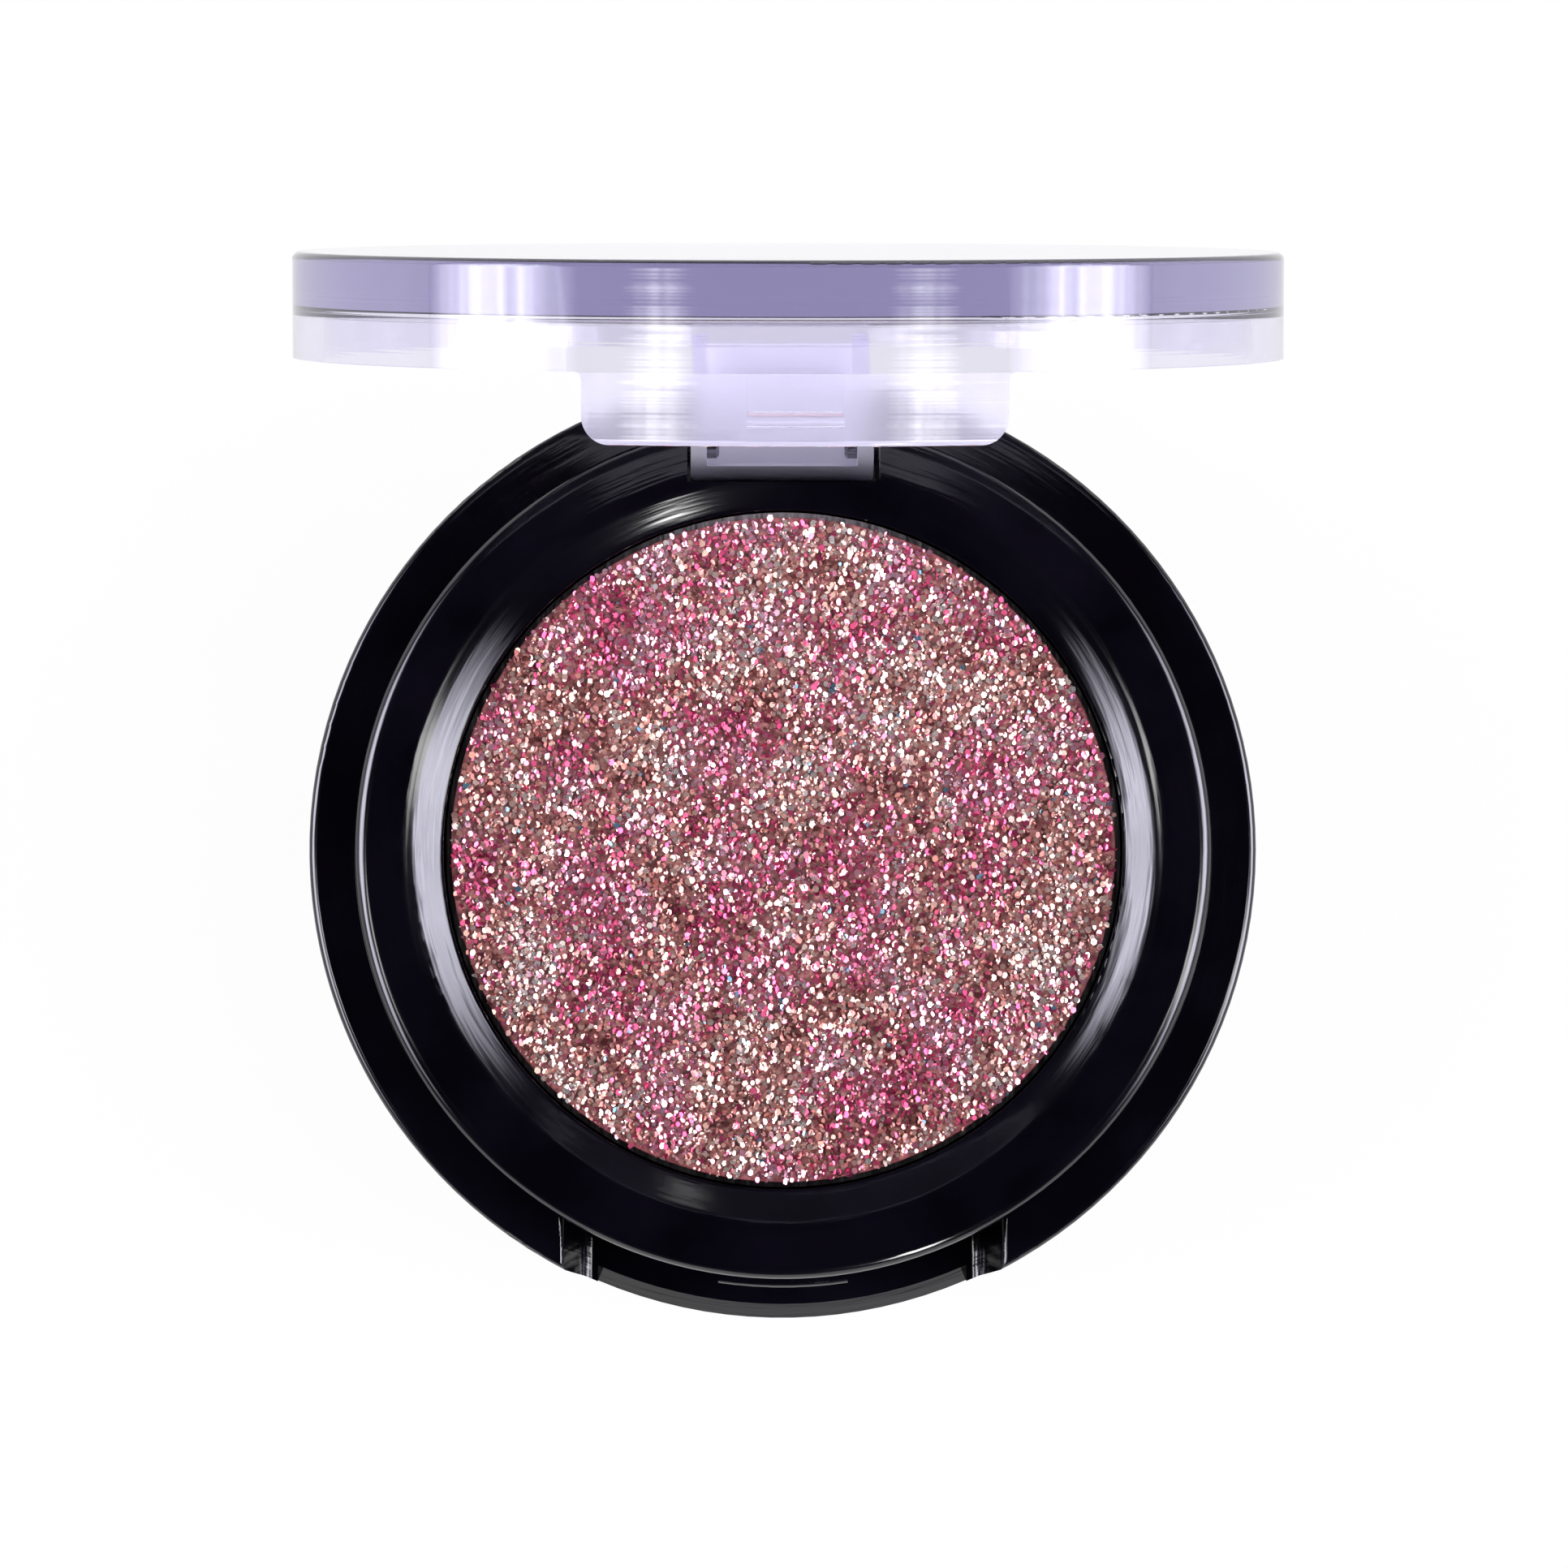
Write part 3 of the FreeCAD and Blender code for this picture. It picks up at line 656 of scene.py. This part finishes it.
def build_flake_tree(tree):
    """Scatters points over the bed, gives each a tone and a colour, and sets a flake on it."""
    given = add(tree, "NodeGroupInput").outputs
    position = add(tree, "GeometryNodeInputPosition").outputs[0]
    level = add(tree, "ShaderNodeVectorMath", {0: position, 1: (1, 1, 0)}, operation="MULTIPLY")
    radius = add(tree, "ShaderNodeVectorMath", {0: level.outputs[0]}, operation="LENGTH")
    inside = add(tree, "FunctionNodeCompare", {
        0: radius.outputs["Value"], 1: given["Reach"]}, operation="LESS_THAN")
    upward = add(tree, "ShaderNodeSeparateXYZ", {0: add(tree, "GeometryNodeInputNormal").outputs[0]})
    on_top = add(tree, "FunctionNodeCompare", {
        0: upward.outputs["Z"], 1: LEAST_UPWARD}, operation="GREATER_THAN")
    where = add(tree, "FunctionNodeBooleanMath", {0: inside.outputs[0], 1: on_top.outputs[0]})
    points = add(tree, "GeometryNodeDistributePointsOnFaces", {
        "Mesh": given["Geometry"], "Selection": where.outputs[0],
        "Density": given["Flakes per square metre"], "Seed": given["Seed"]})

    own_tone = add(tree, "FunctionNodeRandomValue", {2: 0.0, 3: OWN_TONE, "Seed": 1})
    clumping = add(tree, "ShaderNodeMath", {0: 1.0, 1: given["Clump size"]}, operation="DIVIDE")
    clumps = add(tree, "ShaderNodeTexNoise", {
        "Vector": position, "Scale": clumping.outputs[0], "Detail": 3.0})
    shared_tone = add(tree, "ShaderNodeMapRange", {
        "Value": clumps.outputs["Fac"], "From Min": NOISE_LOW, "From Max": NOISE_HIGH,
        "To Min": CLUMP_TONE[0], "To Max": CLUMP_TONE[1]})
    tone = add(tree, "ShaderNodeMath", {0: own_tone.outputs[1], 1: shared_tone.outputs["Result"]})
    chance = add(tree, "FunctionNodeRandomValue", {"Seed": 2})
    rarity = add(tree, "FunctionNodeRandomValue", {"Seed": 3})
    frequency = add(tree, "ShaderNodeMath", {0: 1.0, 1: given["Patch size"]}, operation="DIVIDE")
    patches = add(tree, "ShaderNodeTexNoise", {
        "Vector": position, "Scale": frequency.outputs[0], "Detail": 1.0})
    share = add(tree, "ShaderNodeMapRange", {
        "Value": patches.outputs["Fac"], "From Min": PATCH_EDGE[0], "From Max": PATCH_EDGE[1],
        "To Min": ROSE_SHARE[0], "To Max": ROSE_SHARE[1]})
    rose = add(tree, "FunctionNodeCompare", {
        0: chance.outputs[1], 1: share.outputs["Result"]}, operation="LESS_THAN")
    blue = add(tree, "FunctionNodeCompare", {0: rarity.outputs[1], 1: BLUE_SHARE}, operation="LESS_THAN")
    cloud = points.outputs["Points"]
    for name, value in (
        ("flake_tone", tone.outputs[0]), ("flake_rose", rose.outputs[0]), ("flake_blue", blue.outputs[0]),
    ):
        stored = add(tree, "GeometryNodeStoreNamedAttribute", {
            "Geometry": cloud, "Name": name, "Value": value}, data_type="FLOAT")
        cloud = stored.outputs[0]

    size = add(tree, "FunctionNodeRandomValue", {
        2: given["Smallest radius"], 3: given["Largest radius"], "Seed": 4})
    back = add(tree, "ShaderNodeMath", {0: given["Tilt"], 1: -1.0}, operation="MULTIPLY")
    low = add(tree, "ShaderNodeCombineXYZ", {0: back.outputs[0], 1: back.outputs[0], 2: 0.0})
    high = add(tree, "ShaderNodeCombineXYZ", {0: given["Tilt"], 1: given["Tilt"], 2: math.tau})
    turn = add(tree, "FunctionNodeRandomValue", {
        0: low.outputs[0], 1: high.outputs[0], "Seed": 5}, data_type="FLOAT_VECTOR")
    flake = add(tree, "GeometryNodeMeshCone", {
        "Vertices": FLAKE_SIDES, "Radius Top": 1.0, "Radius Bottom": 0.0, "Depth": FLAKE_DEPTH})
    placed = add(tree, "GeometryNodeInstanceOnPoints", {
        "Points": cloud, "Instance": flake.outputs["Mesh"],
        "Rotation": turn.outputs[0], "Scale": size.outputs[1]})
    real = add(tree, "GeometryNodeRealizeInstances", {0: placed.outputs[0]})
    finished = add(tree, "GeometryNodeSetMaterial", {0: real.outputs[0], "Material": given["Finish"]})
    add(tree, "NodeGroupOutput", {0: finished.outputs[0]})


build_flake_tree(flake_tree)
print("flake tree nodes:", len(flake_tree.nodes))

# %% Flake finish
# Metallised film: a mirror with a slight haze, tinted champagne, rose or, on a few flakes, blue.
flake_finish, tree = new_finish("metallised_film_cut")
tone = add(tree, "ShaderNodeAttribute", attribute_name="flake_tone").outputs["Fac"]
gold = add(tree, "ShaderNodeValToRGB", {0: tone})
set_ramp(gold, (0.0, "#784440"), (0.25, "#D08C80"), (0.55, "#FAD2C0"), (1.0, "#FFF4EA"))
rose = add(tree, "ShaderNodeValToRGB", {0: tone})
set_ramp(rose, (0.0, "#983052"), (0.45, "#E05E84"), (1.0, "#FBC6D4"))
is_rose = add(tree, "ShaderNodeAttribute", attribute_name="flake_rose").outputs["Fac"]
is_blue = add(tree, "ShaderNodeAttribute", attribute_name="flake_blue").outputs["Fac"]
warm = add(tree, "ShaderNodeMix", {
    0: is_rose, 6: gold.outputs["Color"], 7: rose.outputs["Color"]}, data_type="RGBA")
film = add(tree, "ShaderNodeMix", {0: is_blue, 6: warm.outputs[2], 7: linear("#7FA9C0")}, data_type="RGBA")
gloss = add(tree, "ShaderNodeMapRange", {"Value": tone, "To Min": 0.38, "To Max": 0.2})
mirror = add(tree, "ShaderNodeBsdfPrincipled", {
    "Base Color": film.outputs[2], "Metallic": 0.82, "Roughness": gloss.outputs["Result"]})
add(tree, "ShaderNodeOutputMaterial", {"Surface": mirror.outputs[0]})
print("flake finish reads flake_tone, flake_rose and flake_blue")

# %% Scatter the flakes
PATCH_SIZE = 4.0 * MM               # patches that are mostly rose
CLUMP_SIZE = 2.0 * MM               # clumps of paler or darker flakes


def scatter(name, per_square_mm, smallest, largest, tilt, seed):
    """One plain mesh of flakes over the bed. Radii are in millimetres and the tilt is in degrees."""
    piece = bpy.data.objects.new(name, bed.data.copy())
    scene.collection.objects.link(piece)
    modifier = piece.modifiers.new("scatter", "NODES")
    modifier.node_group = flake_tree
    values = {
        "Flakes per square metre": per_square_mm / MM ** 2, "Smallest radius": smallest * MM,
        "Largest radius": largest * MM, "Tilt": math.radians(tilt), "Reach": flat_radius,
        "Patch size": PATCH_SIZE, "Clump size": CLUMP_SIZE, "Seed": seed, "Finish": flake_finish}
    for label, value in values.items():
        modifier[inputs[label].identifier] = value
    evaluated = piece.evaluated_get(bpy.context.evaluated_depsgraph_get())
    flakes = bpy.data.meshes.new_from_object(evaluated)
    piece.modifiers.remove(modifier)
    piece.data = flakes
    flakes.name = name
    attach(piece, "base")
    print(name, "flakes:", len(flakes.polygons) // (FLAKE_SIDES + 1))


scatter("fine_flakes", per_square_mm=33, smallest=0.035, largest=0.075, tilt=45, seed=11)
scatter("coarse_flakes", per_square_mm=26, smallest=0.08, largest=0.15, tilt=42, seed=12)
